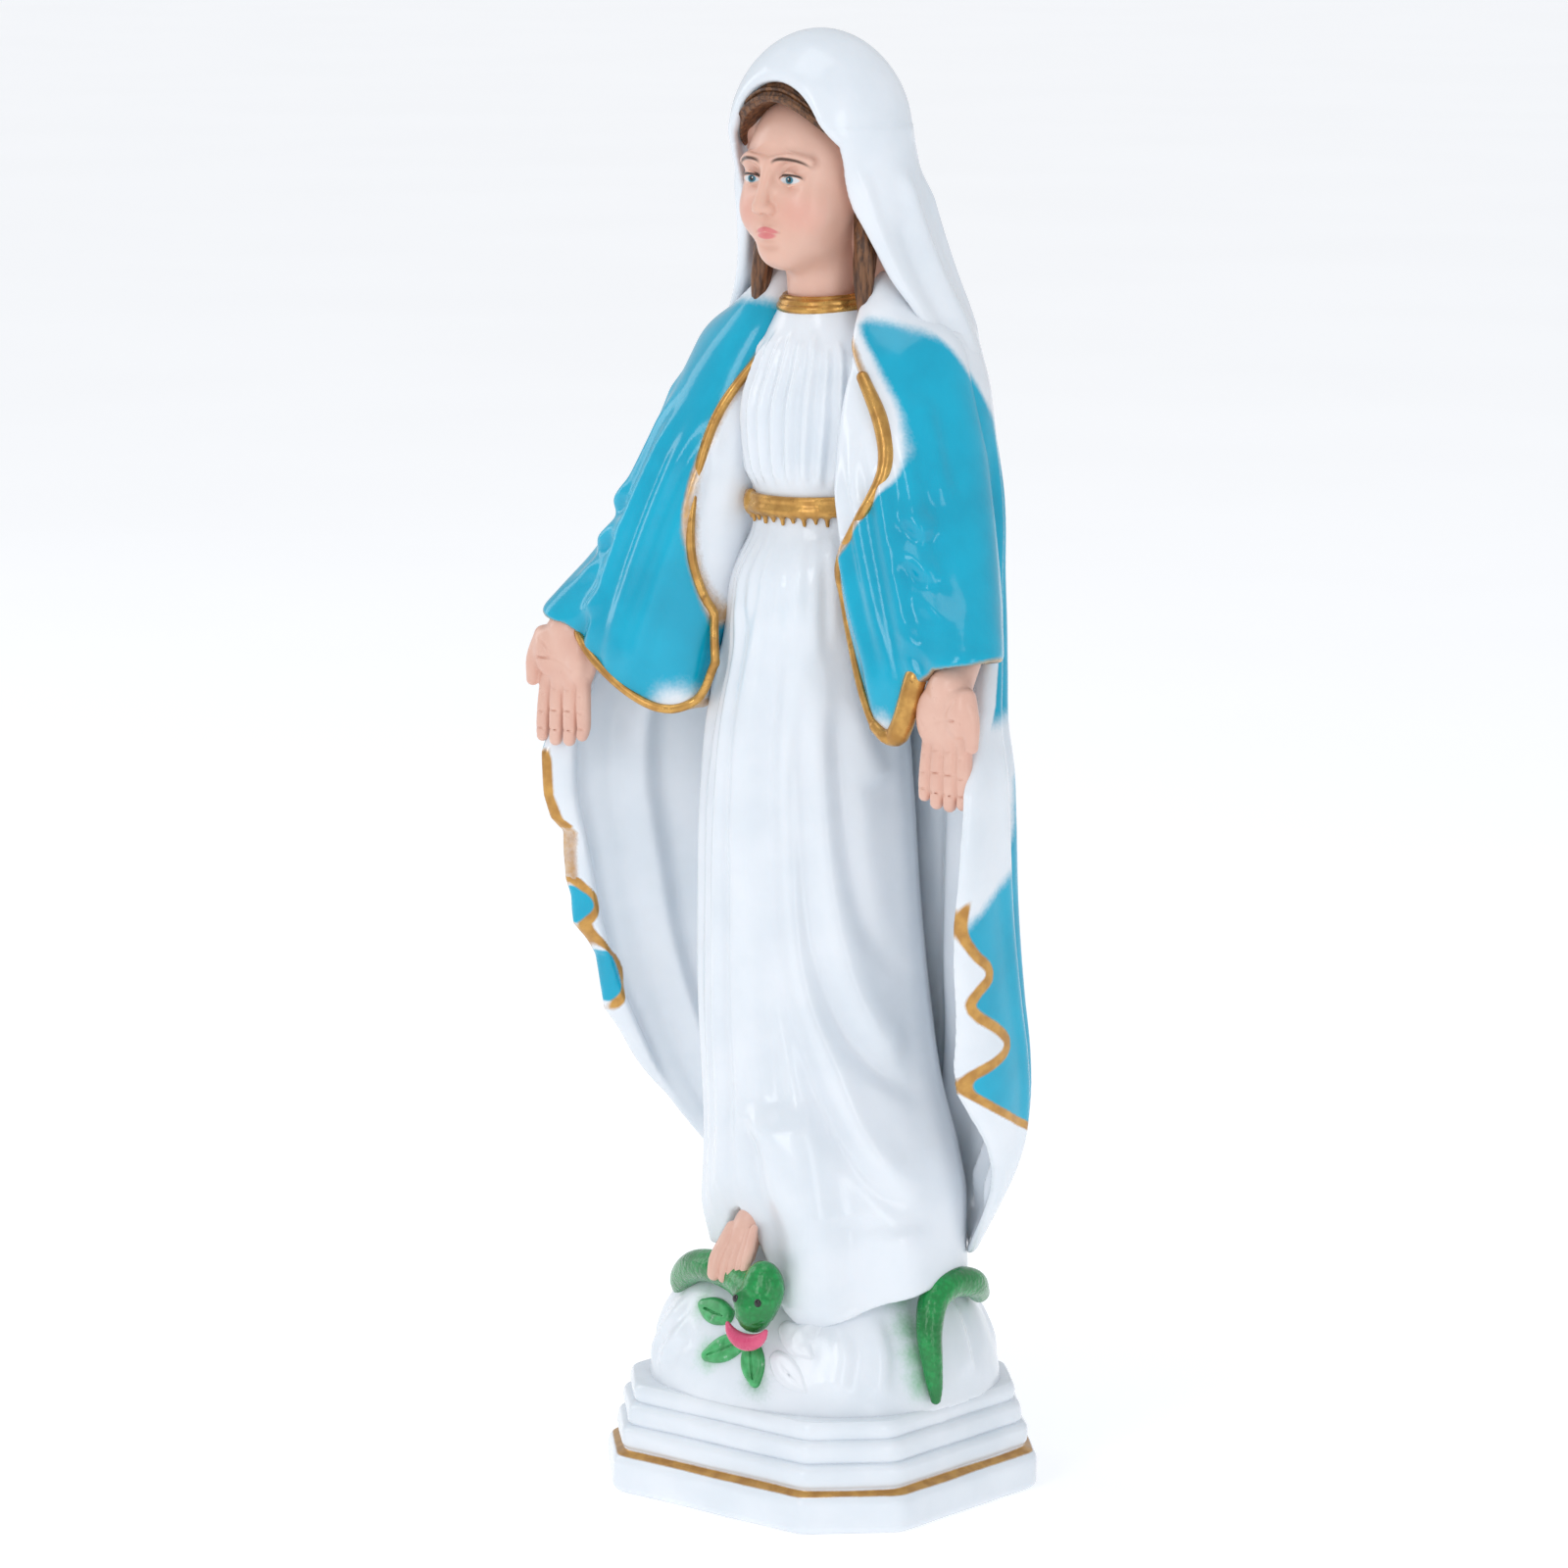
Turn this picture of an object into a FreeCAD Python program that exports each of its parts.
import FreeCAD, Part

import math
import os

import Sketcher

# A standing robed figure, hands lowered and open, on a globe with a serpent and a stepped octagonal plinth.
# Millimetres, +Z up, origin at the middle of the plinth's underside. The figure faces -Y, its left is +X.

doc = FreeCAD.newDocument("devotional_statue")
dims = doc.addObject("Spreadsheet::Sheet", "dims")
next_row = [1]


def cell(alias, value):
    """One driving dimension: its name in column A, its value and alias in column B."""
    row = next_row[0]
    next_row[0] += 1
    dims.set(f"A{row}", alias)
    dims.set(f"B{row}", str(value))
    dims.setAlias(f"B{row}", alias)


# Driving dimensions. Every other size and place is worked out from these.
DRIVING = {
    "wall": 2.0,
    "small_wall": 1.2,
    "plinth_half_width": 40.0,
    "plinth_half_depth": 37.0,
    "plinth_corner": 15.0,
    "slab_height": 7.5,
    "bead_height": 3.6,
    "bead_gap": 1.4,
    "bead_inset": 1.5,
    "gap_inset": 1.0,
    "bead_round": 0.9,
    "plate_thickness": 2.5,
    "plate_clearance": 0.1,
    "plug_head_radius": 8.0,
    "plug_head_height": 1.0,
    "plug_shank_radius": 6.0,
    "plug_clearance": 0.05,
    "seam_y": -3.0,
    "head_height": 268.0,
    "head_half_width": 12.4,
    "head_half_depth": 14.0,
    "head_half_height": 17.5,
    "head_y": -1.8,
    "neck_radius": 7.0,
    "fringe_front_y": -12.0,
    "fringe_depth": 7.0,
    "fringe_foot_height": 266.0,
    "lock_half_length": 13.0,
    "lock_radius": 3.2,
    "lock_height": 249.0,
    "lock_x": 9.5,
    "lock_y": -7.5,
    "face_opening_height": 277.0,
    "face_opening_radius": 12.5,
    "veil_seam_y": 1.0,
    "mantle_edge_y": -8.0,
    "waist_height": 202.0,
    "waist_band_half_height": 2.5,
    "waist_band_depth": 1.8,
    "waist_band_half_width": 9.5,
    "neck_band_height": 243.5,
    "neck_band_radius": 1.4,
    "trim_radius": 1.1,
    "trim_bearing": 38.0,
    "hand_x": 50.0,
    "hand_y": -21.0,
    "palm_height": 166.5,
    "palm_half_width": 6.6,
    "palm_half_depth": 3.4,
    "palm_half_height": 8.6,
    "finger_radius": 1.65,
    "finger_pitch": 2.9,
    "finger_length": 12.0,
    "thumb_length": 9.0,
    "foot_half_width": 4.6,
    "foot_half_length": 10.5,
    "foot_half_height": 4.0,
    "serpent_radius": 3.9,
    "jaw_half_width": 4.2,
    "jaw_half_depth": 3.6,
    "jaw_half_length": 7.5,
    "tail_radius": 3.3,
    "mouth_radius": 3.6,
    "mouth_roll": 1.5,
    "leaf_half_length": 4.6,
    "leaf_half_height": 1.1,
    "leaf_half_width": 2.5,
}

# Lofted pieces as level ellipses from foot to top: height, half width, half depth, centre y.
# The left sleeve's rows end with its centre x and the slope of the ellipse, rising outward.
LOFTS = {
    "globe": [
        (22.5, 36.3, 33.4, 0.0), (30.0, 34.3, 31.5, 0.0), (37.4, 30.7, 28.2, 0.0), (43.8, 25.7, 23.6, 0.0),
        (48.9, 19.6, 18.0, 0.0), (52.6, 12.7, 11.6, 0.0), (54.4, 6.4, 5.9, 0.0)],
    "tunic": [
        (38.0, 29.0, 24.0, -1.0), (58.5, 28.0, 22.3, -1.0), (79.0, 26.3, 20.8, -1.0),
        (99.5, 25.0, 19.8, -1.0), (120.0, 23.6, 19.2, -1.0), (140.5, 22.5, 18.4, -1.0),
        (161.0, 20.5, 16.8, -1.0), (181.5, 16.6, 14.3, -0.7), (202.0, 14.5, 12.8, -0.5),
        (222.5, 17.0, 13.8, 0.0), (243.0, 9.6, 9.0, 1.0)],
    "mantle": [
        (50.0, 33.0, 14.0, 8.0), (68.6, 46.5, 21.0, 1.0), (87.2, 54.0, 28.0, -6.0),
        (105.8, 57.0, 32.5, -13.0), (124.4, 57.5, 36.5, -18.0), (143.0, 58.0, 38.5, -20.5),
        (161.6, 54.5, 37.0, -18.5), (180.2, 49.0, 31.5, -10.0), (198.8, 43.0, 25.0, -1.5),
        (217.4, 37.5, 21.5, 4.5), (236.0, 29.5, 20.0, 7.0)],
    "veil": [
        (236.0, 29.5, 20.0, 7.0), (247.7, 23.2, 20.4, 6.4), (259.3, 19.9, 19.6, 3.8),
        (271.0, 18.7, 18.5, 1.4), (281.0, 17.9, 17.9, -0.2), (289.6, 15.2, 15.2, -0.7),
        (296.1, 10.0, 10.0, -0.9), (299.1, 5.2, 5.1, -0.9), (300.0, 1.9, 1.8, -0.9)],
    "sleeve": [
        (166.0, 20.0, 9.5, -15.0, 38.0, 26.0), (180.0, 18.8, 12.3, -11.5, 33.6, 12.0),
        (194.0, 16.8, 13.4, -8.5, 28.8, 4.0), (208.0, 15.6, 13.8, -5.5, 25.2, 0.0),
        (222.0, 14.0, 13.6, -2.5, 21.0, 0.0), (236.0, 12.6, 12.4, 1.0, 17.0, 0.0)],
}
# The front edge of the mantle's rear shell and its two wings, from the top down: height, y.
MANTLE_EDGE = [
    (300.0, -8.0), (160.0, -8.0), (156.0, -16.0), (136.0, -18.0), (120.0, -17.0), (110.0, -14.0),
    (96.0, -7.0), (84.0, -2.0), (70.0, 3.0), (58.0, 7.5), (40.0, 14.0)]
SECTION = ("height", "half_width", "half_depth", "centre_y", "centre_x", "slope")

for alias, value in DRIVING.items():
    cell(alias, value)
for piece, rows in LOFTS.items():
    for k, row in enumerate(rows):
        for name, value in zip(SECTION, row):
            cell(f"{piece}_{k}_{name}", value)
doc.recompute()


def size(alias):
    """A driving dimension's value, for places that are computed in code."""
    return float(dims.get(alias))


def d(expression):
    """Writes 'wall' style names in an expression as cells of the sheet."""
    out, word = "", ""
    for ch in expression + " ":
        if ch.isalnum() or ch == "_":
            word += ch
            continue
        if word and word[0].isalpha():
            out += "dims." + word
        else:
            out += word
        word = ""
        out += ch
    return out.strip()


def bound(kind, name, where=None, **sizes):
    """A Part object whose sizes, and whose place where = (x, y, z), are expressions on the sheet."""
    made = doc.addObject(kind, name)
    for prop, expression in sizes.items():
        made.setExpression(prop, d(expression))
    for axis, expression in zip("xyz", where or ()):
        made.setExpression(f"Placement.Base.{axis}", d(expression))
    return made


def combine(kind, name, *parts):
    """A boolean of two or more objects: Part::Cut, Part::MultiFuse or Part::MultiCommon."""
    made = doc.addObject(kind, name)
    if kind == "Part::Cut":
        made.Base, made.Tool = parts
    else:
        made.Shapes = list(parts)
    return made


def cut_all(name, base, *tools):
    """base less every tool, one cut after another; the last one carries the name."""
    for k, tool in enumerate(tools[:-1]):
        base = combine("Part::Cut", f"{name}_cut_{k + 1}", base, tool)
    return combine("Part::Cut", name, base, tools[-1])


def loft(name, piece, inset="0", side=1, rows=None):
    """A smooth solid through a piece's ellipses, each drawn in by inset. side is -1 for a right one."""
    sections = []
    for k, row in enumerate(LOFTS[piece][:rows]):
        key = f"{piece}_{k}_"
        aside = f"{side} * {key}centre_x" if len(row) > 4 else "0"
        ring = bound(
            "Part::Ellipse", f"{name}_{k}", where=(aside, key + "centre_y", key + "height"),
            MajorRadius=f"{key}half_width - {inset}", MinorRadius=f"{key}half_depth - {inset}",
        )
        if len(row) > 4:
            ring.Placement.Rotation = FreeCAD.Rotation(FreeCAD.Vector(0, 1, 0), -side * size(key + "slope"))
        sections.append(ring)
    made = doc.addObject("Part::Loft", name)
    made.Sections = sections
    made.Solid = True
    return made


BLOB_STEPS = 6
BLOB_END = 84.0


def blob(name, place, across, deep, tall):
    """An egg of level ellipses with tiny flat ends: half sizes across X, deep along Y and tall along Z."""
    sections = []
    turned = size(across) < size(deep)
    quarter = FreeCAD.Rotation(FreeCAD.Vector(0, 0, 1), 90 if turned else 0)
    for k in range(-BLOB_STEPS, BLOB_STEPS + 1):
        angle = math.radians(BLOB_END * k / BLOB_STEPS)
        ring = bound(
            "Part::Ellipse", f"{name}_{k + BLOB_STEPS}",
            MajorRadius=f"{deep if turned else across} * {math.cos(angle):.6f}",
            MinorRadius=f"{across if turned else deep} * {math.cos(angle):.6f}",
        )
        rise = FreeCAD.Vector(0, 0, size(tall) * math.sin(angle))
        ring.Placement = place.multiply(FreeCAD.Placement(rise, quarter))
        sections.append(ring)
    made = doc.addObject("Part::Loft", name)
    made.Sections = sections
    made.Solid = True
    return made


def at(x, y, z, axis=(0, 0, 1), turn=0.0):
    """A place, with an optional turn about an axis."""
    return FreeCAD.Placement(FreeCAD.Vector(x, y, z), FreeCAD.Rotation(FreeCAD.Vector(*axis), turn))


def spline(name, points):
    """A smooth path through points, as an object that a sweep can follow."""
    curve = Part.BSplineCurve()
    curve.interpolate([FreeCAD.Vector(*p) for p in points])
    made = doc.addObject("Part::Feature", name)
    made.Shape = Part.Wire([curve.toShape()])
    return made


def tube(name, points, radius):
    """A round bar of the sheet's radius along a smooth path, its ends left flat."""
    path = spline(name + "_path", points)
    profile = bound("Part::Circle", name + "_profile", Radius=radius)
    start = FreeCAD.Vector(*points[0])
    along = path.Shape.Edges[0].tangentAt(path.Shape.Edges[0].FirstParameter)
    profile.Placement = FreeCAD.Placement(start, FreeCAD.Rotation(FreeCAD.Vector(0, 0, 1), along))
    made = doc.addObject("Part::Sweep", name)
    made.Sections = [profile]
    made.Spine = (path, ["Edge1"])
    made.Solid = True
    made.Frenet = False
    return made


# ---- the plinth: octagonal tiers, hollow from below, in a front and a rear half

def octagon(body, name, inset, base):
    """A sketch of the plinth's octagon, drawn in by inset, at height base."""
    sketch = body.newObject("Sketcher::SketchObject", name)
    plane = [f for f in body.Origin.OriginFeatures if f.Role == "XY_Plane"][0]
    sketch.AttachmentSupport = [(plane, "")]
    sketch.MapMode = "FlatFace"
    sketch.setExpression("AttachmentOffset.Base.z", d(base))
    wide = f"(plinth_half_width - ({inset}))"
    deep = f"(plinth_half_depth - ({inset}))"
    corner = f"(plinth_corner - 0.586 * ({inset}))"
    corners = [
        (f"{wide} - {corner}", f"-1 * {deep}"),
        (wide, f"-1 * ({deep} - {corner})"),
        (wide, f"{deep} - {corner}"),
        (f"{wide} - {corner}", deep),
        (f"-1 * ({wide} - {corner})", deep),
        (f"-1 * {wide}", f"{deep} - {corner}"),
        (f"-1 * {wide}", f"-1 * ({deep} - {corner})"),
        (f"-1 * ({wide} - {corner})", f"-1 * {deep}"),
    ]
    rough = [FreeCAD.Vector(40 * math.cos(a), 37 * math.sin(a), 0)
             for a in (math.radians(-67.5 + 45 * k) for k in range(8))]
    for k in range(8):
        sketch.addGeometry(Part.LineSegment(rough[k], rough[(k + 1) % 8]), False)
    for k in range(8):
        sketch.addConstraint(Sketcher.Constraint("Coincident", k, 2, (k + 1) % 8, 1))
    for k, (x, y) in enumerate(corners):
        for kind, value, expression in (("DistanceX", rough[k].x, x), ("DistanceY", rough[k].y, y)):
            index = sketch.addConstraint(Sketcher.Constraint(kind, -1, 1, k, 1, value))
            sketch.setExpression(f"Constraints[{index}]", d(expression))
    return sketch


def tier(body, kind, name, inset, base, height):
    """A pad up from base, or a pocket cut up from base, of the octagon drawn in by inset."""
    made = body.newObject("PartDesign::" + kind, name)
    made.Profile = octagon(body, name + "_outline", inset, base)
    made.setExpression("Length", d(height))
    if kind == "Pocket":
        made.Reversed = True
    doc.recompute()
    return made


BEADS = 3
body = doc.addObject("PartDesign::Body", "plinth_blank")
tier(body, "Pad", "slab", "0", "0", "slab_height")
base = "slab_height"
for k in range(1, BEADS + 1):
    inset = f"{k} * bead_inset"
    tier(body, "Pad", f"gap_{k}", f"{inset} + gap_inset", base, "bead_gap")
    tier(body, "Pad", f"bead_{k}", inset, f"{base} + bead_gap", "bead_height")
    base = f"{base} + bead_gap + bead_height"
PLINTH_TOP = base
top_inset = f"{BEADS} * bead_inset + gap_inset + wall"


def tier_edges(shape, height, inset):
    """Names of the level edges that lie at a height on the octagon drawn in by inset."""
    wide = size("plinth_half_width") - inset
    deep = size("plinth_half_depth") - inset
    corner = size("plinth_corner") - 0.586 * inset
    found = []
    for index, edge in enumerate(shape.Edges):
        x, y, z = edge.CenterOfMass
        sides = (abs(x) - wide, abs(y) - deep, abs(x) + abs(y) - wide - deep + corner)
        if abs(z - height) < 0.01 and edge.BoundBox.ZLength < 0.01 and min(map(abs, sides)) < 0.02:
            found.append(f"Edge{index + 1}")
    return found


tiers = body.Tip
outer_edges = tier_edges(tiers.Shape, 0.0, 0.0) + tier_edges(tiers.Shape, size("slab_height"), 0.0)
for k in range(BEADS):
    low = size("slab_height") + size("bead_gap") + k * (size("bead_gap") + size("bead_height"))
    for height in (low, low + size("bead_height")):
        outer_edges += tier_edges(tiers.Shape, height, (k + 1) * size("bead_inset"))
rounded = body.newObject("PartDesign::Fillet", "rounded_beads")
rounded.Base = (tiers, outer_edges)
rounded.setExpression("Radius", d("bead_round"))
doc.recompute()

tier(body, "Pocket", "plate_rebate", "wall", "0", "plate_thickness")
tier(body, "Pocket", "lower_cavity", "wall + 2", "0", "slab_height")
tier(body, "Pocket", "upper_cavity", top_inset, "0", f"{PLINTH_TOP} - wall")

front_half = bound(
    "Part::Box", "front_half_space", where=("-100", "seam_y - 200", "-50"),
    Length="200", Width="200", Height="400",
)
plinth_front = combine("Part::MultiCommon", "plinth_front_shell", body, front_half)
plinth_rear = combine("Part::Cut", "plinth_rear_shell", body, front_half)

# ---- the closing plate under the plinth and its plug

plate = doc.addObject("PartDesign::Body", "plate_blank")
tier(plate, "Pad", "plate", "wall + plate_clearance", "0", "plate_thickness")
hole = bound("Part::Cylinder", "plug_hole", Radius="plug_shank_radius", Height="plate_thickness")
seat = bound("Part::Cylinder", "plug_seat", Radius="plug_head_radius", Height="plug_head_height")
base_plate = cut_all("base_plate", plate, hole, seat)
plug_head = bound(
    "Part::Cylinder", "plug_head",
    Radius="plug_head_radius - plug_clearance", Height="plug_head_height",
)
plug_shank = bound(
    "Part::Cylinder", "plug_shank",
    Radius="plug_shank_radius - plug_clearance", Height="plate_thickness + 1.5",
)
base_plug = combine("Part::MultiFuse", "base_plug", plug_head, plug_shank)


# ---- the globe, hollow, standing on the plinth

globe_solid = loft("globe_solid", "globe")
globe_void = loft("globe_void", "globe", inset="wall", rows=-1)
for first in ("globe_solid_0", "globe_void_0"):
    doc.getObject(first).setExpression("Placement.Base.z", d(PLINTH_TOP))
globe = combine("Part::Cut", "globe", globe_solid, globe_void)

# ---- the gown, a hollow bell whose hem rests on the globe

tunic_solid = loft("tunic_solid", "tunic")
tunic_void = loft("tunic_void", "tunic", inset="wall")
neck_plug = bound("Part::Box", "gown_top", where=("-50", "-50", "tunic_10_height - wall"),
                  Length="100", Width="100", Height="50")
tunic_cavity = combine("Part::Cut", "tunic_cavity", tunic_void, neck_plug)
tunic = cut_all("tunic", tunic_solid, tunic_cavity, globe_solid)

# ---- the mantle's rear shell: open in front, behind and beside the gown


def space_before(name, y):
    """Everything in front of a plane across the figure."""
    return bound("Part::Box", name, where=("-100", f"{y} - 200", "-50"), Length="200", Width="200", Height="400")


def space_before_profile(name, rows):
    """Everything in front of a profile of (height, y) rows, carried across the whole figure."""
    outline = doc.addObject("Part::Polygon", name + "_outline")
    far = -100.0
    corners = [(far, rows[0][0])] + [(y, height) for height, y in rows] + [(far, rows[-1][0])]
    outline.Nodes = [FreeCAD.Vector(far, y, height) for y, height in corners]
    outline.Close = True
    made = doc.addObject("Part::Extrusion", name)
    made.Base = outline
    made.Dir = FreeCAD.Vector(1, 0, 0)
    made.DirMode = "Custom"
    made.LengthFwd = 200
    made.Solid = True
    return made


mantle_solid = loft("mantle_solid", "mantle")
mantle_void = loft("mantle_void", "mantle", inset="wall")
before_edges = space_before("before_mantle_edges", "mantle_edge_y")
before_wings = space_before_profile("before_mantle_wings", MANTLE_EDGE)
mantle_rear = cut_all("mantle_rear_shell", mantle_solid, mantle_void, before_wings)

# ---- the sleeves: the mantle's front, a hollow bell each side with a slanting cuff

sleeves = {}
sleeve_solids = {}
for name, side in (("right", -1), ("left", 1)):
    solid = loft(f"{name}_sleeve_solid", "sleeve", side=side)
    void = loft(f"{name}_sleeve_void", "sleeve", inset="wall", side=side)
    shell = cut_all(f"{name}_sleeve_shell", solid, void, tunic_solid)
    sleeve_solids[name] = solid
    sleeves[name] = combine("Part::MultiCommon", f"{name}_sleeve", shell, before_edges)

# ---- the veil: a hood round the face, in a front rim and a rear half


def arch(name, radius, foot, springing):
    """A round-topped doorway drawn upright on XZ and carried far forward and back."""
    outline = doc.addObject("Sketcher::SketchObject", name + "_outline")
    r, low, high = size(radius), size(foot), size(springing)
    outline.addGeometry(Part.LineSegment(FreeCAD.Vector(-r, low, 0), FreeCAD.Vector(r, low, 0)), False)
    outline.addGeometry(Part.LineSegment(FreeCAD.Vector(r, low, 0), FreeCAD.Vector(r, high, 0)), False)
    circle = Part.Circle(FreeCAD.Vector(0, high, 0), FreeCAD.Vector(0, 0, 1), r)
    outline.addGeometry(Part.ArcOfCircle(circle, 0, math.pi), False)
    outline.addGeometry(Part.LineSegment(FreeCAD.Vector(-r, high, 0), FreeCAD.Vector(-r, low, 0)), False)
    outline.addConstraint([
        Sketcher.Constraint("Coincident", 0, 2, 1, 1),
        Sketcher.Constraint("Tangent", 1, 2, 2, 1),
        Sketcher.Constraint("Tangent", 2, 2, 3, 1),
        Sketcher.Constraint("Coincident", 3, 2, 0, 1),
        Sketcher.Constraint("Horizontal", 0),
        Sketcher.Constraint("Vertical", 1),
        Sketcher.Constraint("PointOnObject", 2, 3, -2),
    ])
    for kind, on, value, expression in (
        ("Radius", (2,), r, radius),
        ("DistanceY", (-1, 1, 0, 1), low, foot),
        ("DistanceY", (-1, 1, 2, 3), high, springing),
    ):
        index = outline.addConstraint(Sketcher.Constraint(kind, *on, value))
        outline.setExpression(f"Constraints[{index}]", d(expression))
    outline.Placement = FreeCAD.Placement(FreeCAD.Vector(0, 0, 0), FreeCAD.Rotation(FreeCAD.Vector(1, 0, 0), 90))
    made = doc.addObject("Part::Extrusion", name)
    made.Base = outline
    made.Dir = FreeCAD.Vector(0, -1, 0)
    made.DirMode = "Custom"
    made.LengthFwd = 100
    made.Solid = True
    return made


veil_solid = loft("veil_solid", "veil")
veil_void = loft("veil_void", "veil", inset="wall", rows=-2)
face_opening = arch("face_opening", "face_opening_radius", "waist_height", "face_opening_height")
before_seam = space_before("before_veil_seam", "veil_seam_y")
veil_shell = cut_all("veil_shell", veil_solid, veil_void, face_opening)
veil_front = combine("Part::MultiCommon", "veil_front_shell", veil_shell, before_seam)
veil_rear = combine("Part::Cut", "veil_rear_shell", veil_shell, before_seam)

# ---- head, neck and hair

skull = blob(
    "skull", at(0, size("head_y"), size("head_height")),
    "head_half_width", "head_half_depth", "head_half_height")
neck = bound(
    "Part::Cylinder", "neck", where=("0", "1", "tunic_10_height"),
    Radius="neck_radius", Height="head_height - tunic_10_height",
)
head = combine("Part::MultiFuse", "head", skull, neck)

fringe_space = bound(
    "Part::Box", "fringe_space", where=("-50", "fringe_front_y", "fringe_foot_height"),
    Length="100", Width="fringe_depth", Height="100",
)
fringe_blank = combine("Part::MultiCommon", "fringe_blank", veil_void, fringe_space)
hair_fringe = combine("Part::Cut", "hair_fringe", fringe_blank, skull)

locks = {}
for name, side in (("right", -1), ("left", 1)):
    lock = blob(
        f"{name}_lock_blank", at(side * size("lock_x"), size("lock_y"), size("lock_height")),
        "lock_radius", "lock_radius", "lock_half_length",
    )
    locks[name] = cut_all(f"{name}_hair_lock", lock, skull, neck, tunic_solid)

# ---- the hands: a palm, four fingers and a thumb each

hands = {}
for name, side in (("right", -1), ("left", 1)):
    palm_at = at(side * size("hand_x"), size("hand_y"), size("palm_height"))
    pieces = [blob(f"{name}_palm", palm_at, "palm_half_width", "palm_half_depth", "palm_half_height")]
    for k, (offset, reach) in enumerate(((-1.5, -1.0), (-0.5, 0.0), (0.5, 0.5), (1.5, -1.5))):
        finger = bound(
            "Part::Cylinder", f"{name}_finger_{k + 1}",
            where=(
                f"{side} * hand_x + {offset} * finger_pitch", "hand_y - 0.4",
                f"palm_height - palm_half_height + 3 - finger_length - {reach}",
            ),
            Radius="finger_radius", Height=f"finger_length + {reach}",
        )
        pieces.append(finger)
    thumb = bound(
        "Part::Cylinder", f"{name}_thumb",
        where=(f"{side} * (hand_x + palm_half_width - 2)", "hand_y - 0.8", "palm_height - 6"),
        Radius="finger_radius", Height="thumb_length",
    )
    pieces.append(thumb)
    blank = combine("Part::MultiFuse", f"{name}_hand_blank", *pieces)
    hands[name] = cut_all(f"{name}_hand", blank, sleeve_solids[name])

# ---- bands and raised hems

waist_rings = []
for k, (rise, swell) in enumerate(((-1, 0.3), (0, 1), (1, 0.3))):
    waist_rings.append(bound(
        "Part::Ellipse", f"waist_ring_{k}",
        where=("0", "tunic_8_centre_y", f"waist_height + ({rise}) * waist_band_half_height"),
        MajorRadius=f"tunic_8_half_width + {swell} * waist_band_depth",
        MinorRadius=f"tunic_8_half_depth + {swell} * waist_band_depth",
    ))
waist_drum = doc.addObject("Part::Loft", "waist_drum")
waist_drum.Sections = waist_rings
waist_drum.Solid = True
waist_ring = combine("Part::Cut", "waist_ring", waist_drum, tunic_solid)
between_sleeves = bound(
    "Part::Box", "between_sleeves", where=("-1 * waist_band_half_width", "-50", "waist_height - 20"),
    Length="2 * waist_band_half_width", Width="46", Height="40",
)
waist_band = combine("Part::MultiCommon", "waist_band", waist_ring, between_sleeves)

neck_ring = bound(
    "Part::Torus", "neck_ring", where=("0", "1", "neck_band_height"),
    Radius1="tunic_10_half_depth - 0.5", Radius2="neck_band_radius",
)
neck_band = cut_all("neck_band", neck_ring, tunic_solid, neck)

hem_trims = {}
for name, side in (("right", -1), ("left", 1)):
    path = []
    for k in range(1, len(LOFTS["sleeve"])):
        height, width, depth, y, x, slope = (size(f"sleeve_{k}_{part}") for part in SECTION)
        turn = math.radians(size("trim_bearing"))
        reach = width * math.cos(turn)
        path.append((side * (x - reach), y - depth * math.sin(turn), height - reach * math.sin(math.radians(slope))))
    hem = tube(f"{name}_hem_bar", path, "trim_radius")
    hem_trims[name] = cut_all(f"{name}_hem_trim", hem, sleeve_solids[name], tunic_solid)

# ---- the bare foot, the serpent, its bitten fruit and the leaves

foot_blank = blob(
    "foot_blank", at(0.5, -24.5, 51.0, (1, 0, 0), 25), "foot_half_width", "foot_half_length", "foot_half_height")
right_foot = cut_all("right_foot", foot_blank, tunic_solid, globe_solid)

serpent_bar = tube(
    "serpent_bar",
    [(-22.0, -16.0, 43.0), (-16.5, -24.0, 45.0), (-9.0, -28.5, 45.5), (-1.0, -29.5, 44.5), (5.0, -29.5, 43.5)],
    "serpent_radius",
)
serpent_body = cut_all("serpent_body", serpent_bar, globe_solid, tunic_solid, foot_blank)
serpent_skull = blob(
    "serpent_skull", at(8.5, -31.0, 42.0, (1, -0.15, 0), -28), "jaw_half_width", "jaw_half_depth", "jaw_half_length")
serpent_head = cut_all("serpent_head", serpent_skull, globe_solid, tunic_solid, serpent_bar, foot_blank)
tail_bar = tube(
    "tail_bar",
    [(31.0, 14.0, 40.0), (33.5, 6.0, 43.0), (34.0, -2.0, 42.5), (35.5, -7.0, 37.0), (36.6, -8.0, 30.0),
     (37.2, -7.5, 23.4)],
    "tail_radius",
)
serpent_tail = cut_all("serpent_tail", tail_bar, globe_solid, tunic_solid, body, mantle_solid)

mouth = bound("Part::Torus", "mouth_ring", Radius1="mouth_radius", Radius2="mouth_roll")
mouth.Placement = FreeCAD.Placement(
    FreeCAD.Vector(8.3, -34.0, 36.6), FreeCAD.Rotation(FreeCAD.Vector(1, 0, 0), 80))
fruit = cut_all("bitten_fruit", mouth, globe_solid, serpent_skull)


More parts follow.
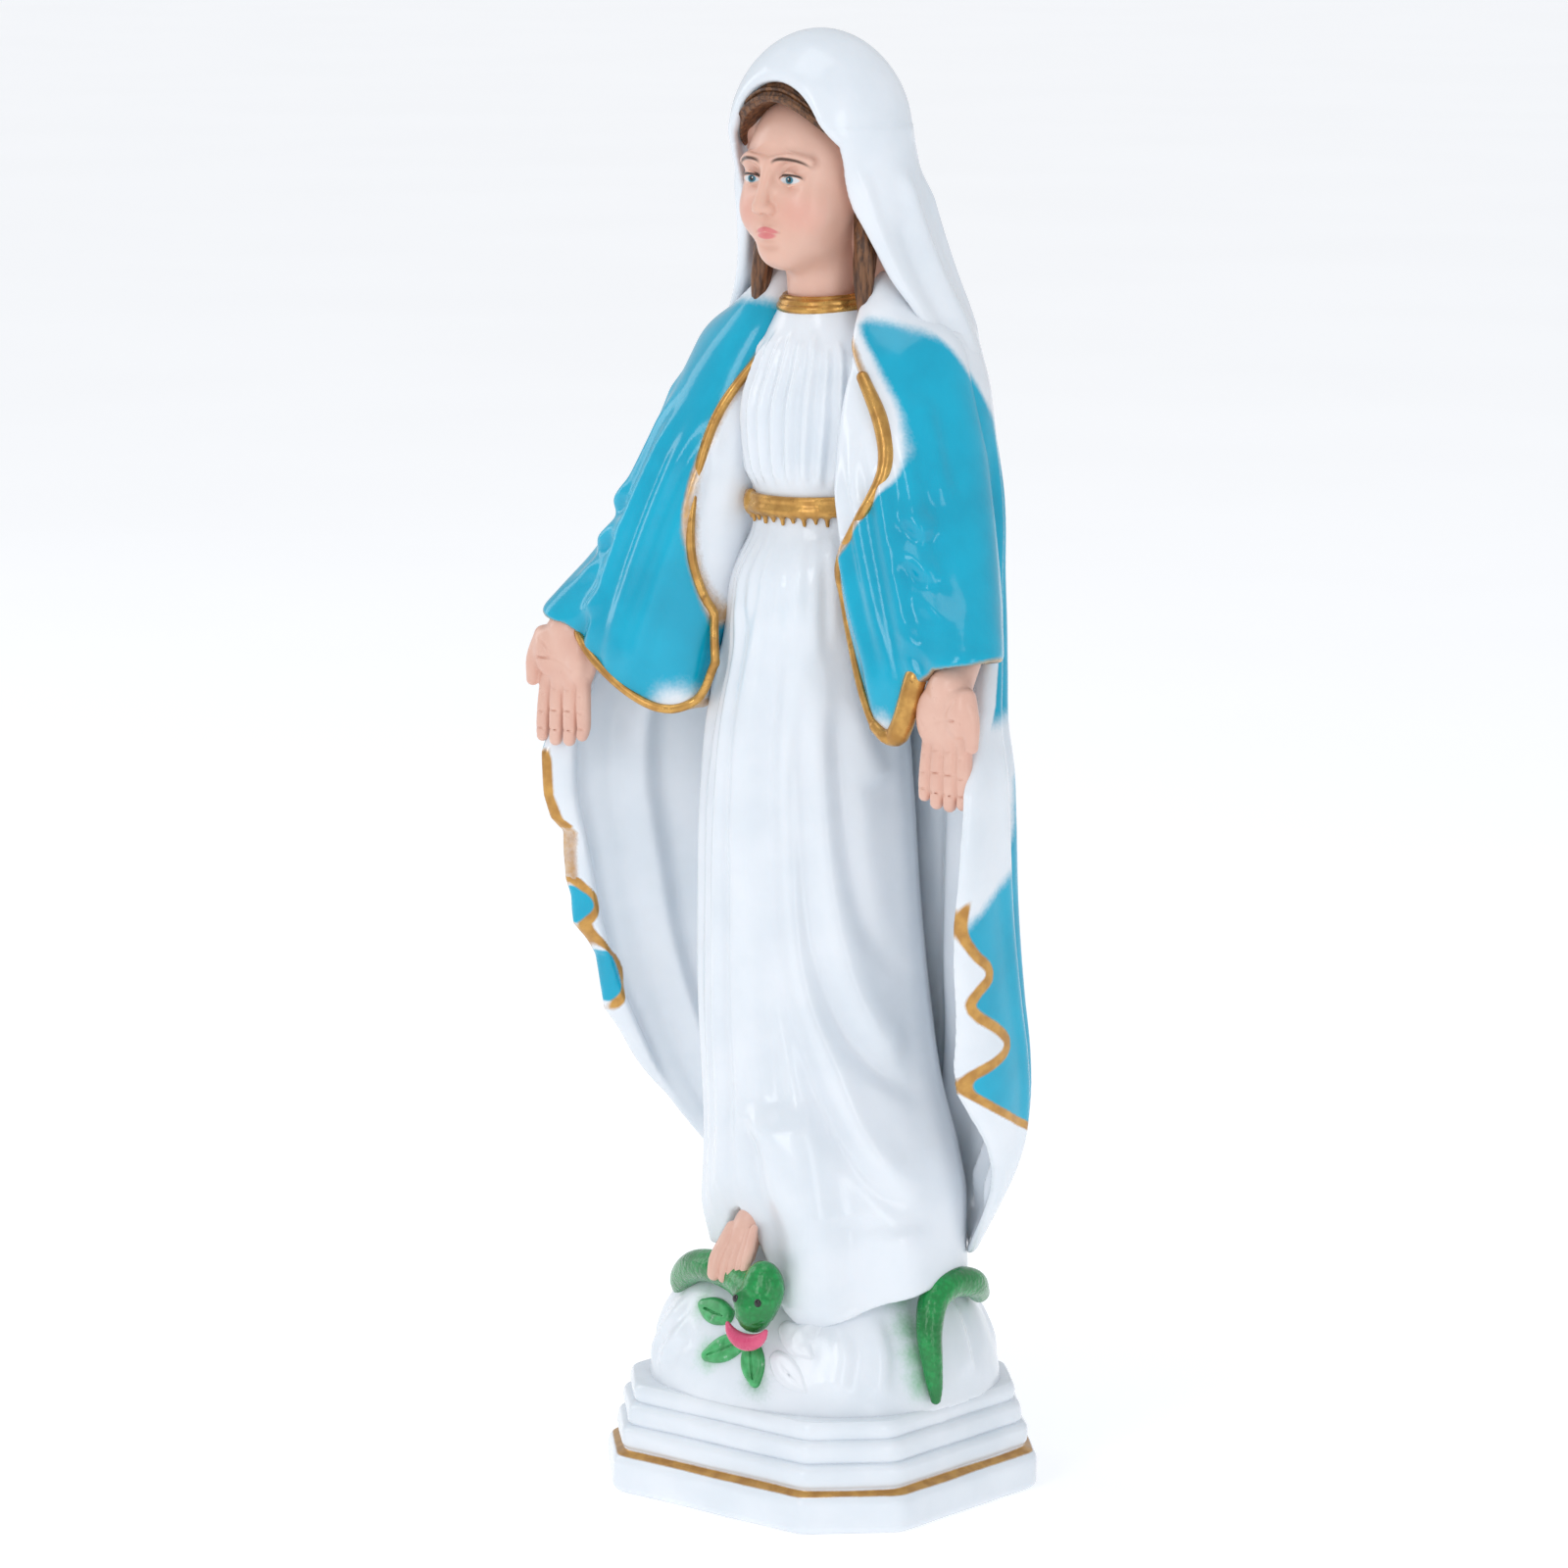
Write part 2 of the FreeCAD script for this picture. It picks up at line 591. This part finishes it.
def leaf(name, place, turn):
    """A flat almond lying on the globe's front, turned about the outward direction."""
    outward = FreeCAD.Vector(place[0] / 1.4, place[1], (place[2] - 15) * 0.6)
    face_out = FreeCAD.Rotation(FreeCAD.Vector(0, -1, 0), outward)
    lying = FreeCAD.Placement(
        FreeCAD.Vector(*place), face_out.multiply(FreeCAD.Rotation(FreeCAD.Vector(0, 1, 0), turn)))
    made = blob(name, lying, "leaf_half_length", "leaf_half_height", "leaf_half_width")
    return cut_all(name + "_cut", made, globe_solid)


green_leaves = doc.addObject("Part::Compound", "green_leaves")
green_leaves.Links = [
    leaf("leaf_beside", (-0.6, -30.2, 37.8), 10),
    leaf("leaf_below_right", (2.2, -32.2, 30.6), -35),
    leaf("leaf_below_left", (11.6, -30.8, 29.2), 60),
]
plain_leaves = doc.addObject("Part::Compound", "plain_leaves")
plain_leaves.Links = [
    leaf("leaf_plain_upper", (20.5, -26.2, 30.4), 50),
    leaf("leaf_plain_lower", (25.0, -24.3, 26.8), -20),
]

# ---- names, checks and files

NODES = {
    "plinth_front_shell": plinth_front, "plinth_rear_shell": plinth_rear, "base_plate": base_plate,
    "base_plug": base_plug, "globe": globe, "tunic": tunic, "mantle_rear_shell": mantle_rear,
    "right_sleeve": sleeves["right"], "left_sleeve": sleeves["left"], "head": head,
    "hair_fringe": hair_fringe, "right_hair_lock": locks["right"], "left_hair_lock": locks["left"],
    "veil_front_shell": veil_front, "veil_rear_shell": veil_rear, "right_hand": hands["right"],
    "left_hand": hands["left"], "waist_band": waist_band, "neck_band": neck_band,
    "right_hem_trim": hem_trims["right"], "left_hem_trim": hem_trims["left"], "right_foot": right_foot,
    "serpent_body": serpent_body, "serpent_head": serpent_head, "serpent_tail": serpent_tail,
    "bitten_fruit": fruit, "green_leaves": green_leaves, "plain_leaves": plain_leaves,
}
doc.recompute()
failed = [o.Name for o in doc.Objects if {"Invalid", "Error"} & set(o.State)]
assert not failed, failed
os.makedirs("parts", exist_ok=True)
for node, made in NODES.items():
    made.Label = node
    assert made.Label == node, (node, made.Label)
    shape = made.Shape
    assert not shape.isNull() and shape.isValid() and shape.Solids, node
    print(f"{node}: {len(shape.Solids)} solid(s), {shape.Volume:.0f} mm3")
    shape.exportStep(f"parts/{node}.step")
